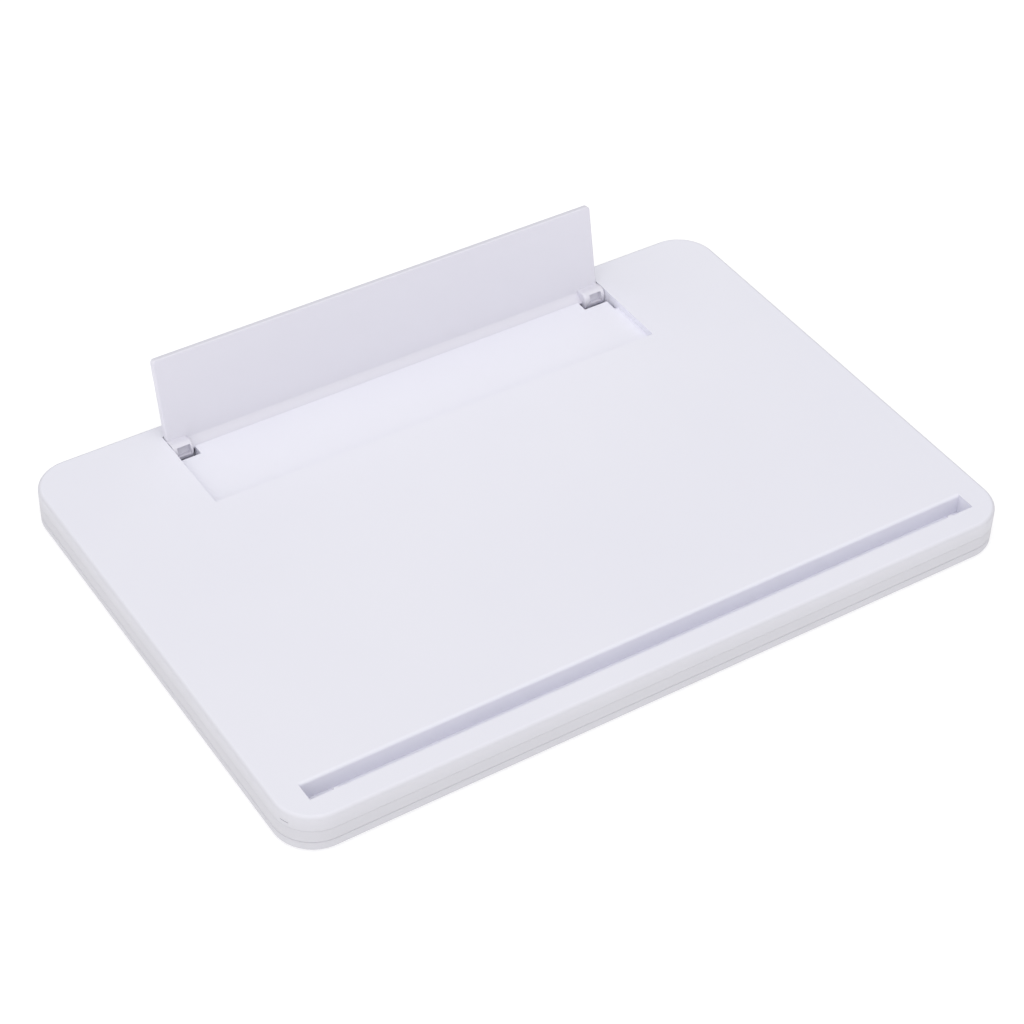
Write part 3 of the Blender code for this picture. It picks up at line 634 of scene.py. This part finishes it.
def rail_shape():
    """The rail along the plate's foot, in front of it and round the hinge axis."""
    root = FLAP_FACE + 0.0010
    barrel = arc(0.0, 0.0, RAIL_RADIUS, RAIL_FRONT_ANGLE, RAIL_BOTTOM_ANGLE, 8)
    face = bend((FLAP_FACE + 0.00005, RAIL_TOP), RAIL_BEND, barrel[0], 12)
    outline = [(root, RAIL_TOP)] + face + barrel + [(root, 0.0002 - FLAP_TAIL)]
    return section_shape(outline, -KNUCKLE_INNER[-1] - 0.0002, KNUCKLE_INNER[1] + 0.0002)


def pocket_shape(side):
    """The rounded hollow in a knuckle's front."""
    shape = side_box(side, (POCKET_INNER, -KNUCKLE_RADIUS - 0.001, POCKET_BOTTOM),
                     (POCKET_OUTER, FLAP_FACE - POCKET_FLOOR, POCKET_TOP))
    along = [edge for edge in shape.edges if abs(edge.verts[0].co.y - edge.verts[1].co.y) > TINY]
    soften(shape, along, 0.0003, 3)
    return shape


def make_flap(bench):
    flap = piece_from("picture_plate", plate_shape())
    steps = [("UNION", rail_shape())]
    for side in (-1, 1):
        inside = side * KNUCKLE_INNER[side]
        outside = side * KNUCKLE_OUTER
        knuckle = knuckle_shape(min(inside, outside), max(inside, outside))
        soften(knuckle, knuckle_end(knuckle, inside), KNUCKLE_ROUNDING, 6)
        soften(knuckle, knuckle_end(knuckle, outside), KNUCKLE_SOFTENING, 4)
        steps.append(("UNION", knuckle))
        steps.append(("DIFFERENCE", pocket_shape(side)))
        inner, outer = sorted((side * (PIN_LOW.x - GAP), side * (KNUCKLE_OUTER + 0.001)))
        steps.append(("DIFFERENCE", rod_shape((0.0, 0.0), PIN_RADIUS + GAP, inner, outer, axis="X")))
    join_and_cut(flap, steps)
    place = Matrix.Translation((0.0, HINGE_Y, HINGE_Z)) @ Matrix.Rotation(-LEAN, 4, "X")
    flap.data.transform(place)
    return finish_piece(flap, bench, "flap", ["picture_flap"])


# ---------------------------------------------------------------- small hardware
def make_foot(name, bench):
    low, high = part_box(name)
    centre = (low + high) / 2
    shape = rod_shape(centre, (high.x - low.x) / 2, low.z, high.z, steps=64)
    soften(shape, level_edges(shape, low.z), 0.00045, 4)
    soften(shape, level_edges(shape, high.z), 0.0002, 2)
    foot = piece_from("rubber_" + name, shape)
    return finish_piece(foot, bench, "board", [name])


def screw_shape(centre, low, high):
    """A turned pan-head screw, head down."""
    edge = 0.0004
    profile = [(0.0, high), (SHANK_RADIUS * 0.5, high), (SHANK_RADIUS, high - SHANK_RADIUS),
               (SHANK_RADIUS, low + HEAD_HEIGHT), (HEAD_RADIUS, low + HEAD_HEIGHT)]
    profile += arc(HEAD_RADIUS - edge, low + edge, edge, 0.0, -90.0, 4) + [(0.0, low)]
    shape = bmesh.new()
    verts = [shape.verts.new((x, 0.0, z)) for x, z in profile]
    lines = [shape.edges.new(pair) for pair in zip(verts, verts[1:])]
    bmesh.ops.spin(shape, geom=verts + lines, cent=(0, 0, 0), axis=(0, 0, 1), angle=math.tau,
                   steps=36, use_merge=True)
    bmesh.ops.remove_doubles(shape, verts=shape.verts, dist=TINY)
    bmesh.ops.recalc_face_normals(shape, faces=shape.faces)
    bmesh.ops.translate(shape, verts=shape.verts, vec=(centre.x, centre.y, 0.0))
    return shape


def make_screw(name, bench):
    low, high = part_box(name)
    centre = (low + high) / 2
    screw = piece_from("steel_" + name, screw_shape(centre, low.z, high.z))
    depth = low.z + DRIVE_DEPTH
    arms = [(DRIVE_ARM, DRIVE_HALF), (DRIVE_HALF, DRIVE_ARM)]
    join_and_cut(screw, [("DIFFERENCE", box_shape((centre.x - x, centre.y - y, low.z - 0.001),
                                                  (centre.x + x, centre.y + y, depth)))
                         for x, y in arms])
    return finish_piece(screw, bench, "board", [name])


def make_pin(name, bench):
    low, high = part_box(name)
    shape = rod_shape((HINGE_Y, HINGE_Z), PIN_RADIUS, low.x, high.x, axis="X")
    ends = [edge for edge in shape.edges
            if abs(edge.verts[0].co.x - edge.verts[1].co.x) < TINY]
    soften(shape, ends, 0.0002, 3)
    pin = piece_from("steel_" + name, shape)
    return finish_piece(pin, bench, "flap", [name])


# ---------------------------------------------------------------- floor, light and camera
def make_floor():
    shape = bmesh.new()
    bmesh.ops.create_grid(shape, x_segments=1, y_segments=1, size=4.0)
    floor = piece_from("studio_floor", shape)
    bench = NodeBench("pale_floor")
    bench.shader.inputs["Base Color"].default_value = (0.62, 0.62, 0.62, 1.0)
    bench.shader.inputs["Roughness"].default_value = 0.9
    bench.shader.inputs["Emission Color"].default_value = (1.0, 1.0, 1.0, 1.0)
    bench.shader.inputs["Emission Strength"].default_value = FLOOR_GLOW
    bench.shader.inputs["Specular IOR Level"].default_value = 0.1
    floor.data.materials.append(bench.material)


def make_light():
    """A white tent, brightest high up at the front left and falling off behind the board."""
    world = bpy.data.worlds.new("studio")
    world.use_nodes = True
    tree = world.node_tree
    aim = tree.nodes.new("ShaderNodeTexCoord")
    dot = tree.nodes.new("ShaderNodeVectorMath")
    dot.operation = "DOT_PRODUCT"
    dot.inputs[1].default_value = Vector(TENT_AIM).normalized()
    fade = tree.nodes.new("ShaderNodeMapRange")
    fade.interpolation_type = "SMOOTHSTEP"
    fade.inputs["From Min"].default_value = TENT_EDGE
    fade.inputs["From Max"].default_value = 1.0
    fade.inputs["To Min"].default_value = TENT_DIM
    fade.inputs["To Max"].default_value = TENT_BRIGHT
    tree.links.new(aim.outputs["Generated"], dot.inputs[0])
    tree.links.new(dot.outputs["Value"], fade.inputs["Value"])
    tree.links.new(fade.outputs["Result"], tree.nodes["Background"].inputs["Strength"])
    tree.nodes["Background"].inputs["Color"].default_value = (1.0, 1.0, 1.0, 1.0)
    bpy.context.scene.world = world
    bpy.context.scene.view_settings.view_transform = "Standard"


def make_camera():
    lens = bpy.data.cameras.new("camera")
    lens.lens = CAMERA_LENS
    lens.sensor_width = CAMERA_SENSOR
    camera = bpy.data.objects.new("camera", lens)
    bpy.context.scene.collection.objects.link(camera)
    turn = (Matrix.Rotation(math.radians(-CAMERA_AZIMUTH), 4, "Z")
            @ Matrix.Rotation(math.radians(90.0 - CAMERA_ELEVATION), 4, "X")
            @ Matrix.Rotation(math.radians(CAMERA_ROLL), 4, "Z"))
    camera.matrix_world = Matrix.Translation(CAMERA_PLACE) @ turn
    bpy.context.scene.camera = camera


# ---------------------------------------------------------------- assembly
case_white = moulded_plastic("case_white", (0.850, 0.847, 0.920), (0.838, 0.835, 0.912), 0.46)
# painted shade: the case's lower walls, underside and hinge retainers get the top's white plastic in a darker
# colour, because the light falls on them less
base_white = moulded_plastic("base_white", (0.610, 0.603, 0.645), (0.596, 0.589, 0.631), 0.48)
# painted shade: the flap is the case's white plastic in a darker colour, for its upright face taking less light
# than the top
flap_white = moulded_plastic("flap_white", (0.765, 0.753, 0.824), (0.755, 0.743, 0.815), 0.44)
# painted shade on the top cover's outer walls, darker low down
paint_wall_shade(case_white, (0.590, 0.583, 0.624))
rubber = foot_rubber("grey_rubber")
steel = plated_steel("plated_steel")

make_top_cover(case_white)
make_frame_band(base_white)
make_bottom_cover(base_white)
make_flap(flap_white)
for foot_name in FEET:
    make_foot(foot_name, rubber)
for screw_name in SCREWS:
    make_screw(screw_name, steel)
for pin_name in PINS:
    make_pin(pin_name, steel)
for side in ("left", "right"):
    for node_name, finish in (("hinge_retainer_", base_white), ("retainer_screw_", steel)):
        node = frame["nodes"][node_name + side]
        node.data.materials.clear()
        node.data.materials.append(finish.material)

make_floor()
make_light()
make_camera()
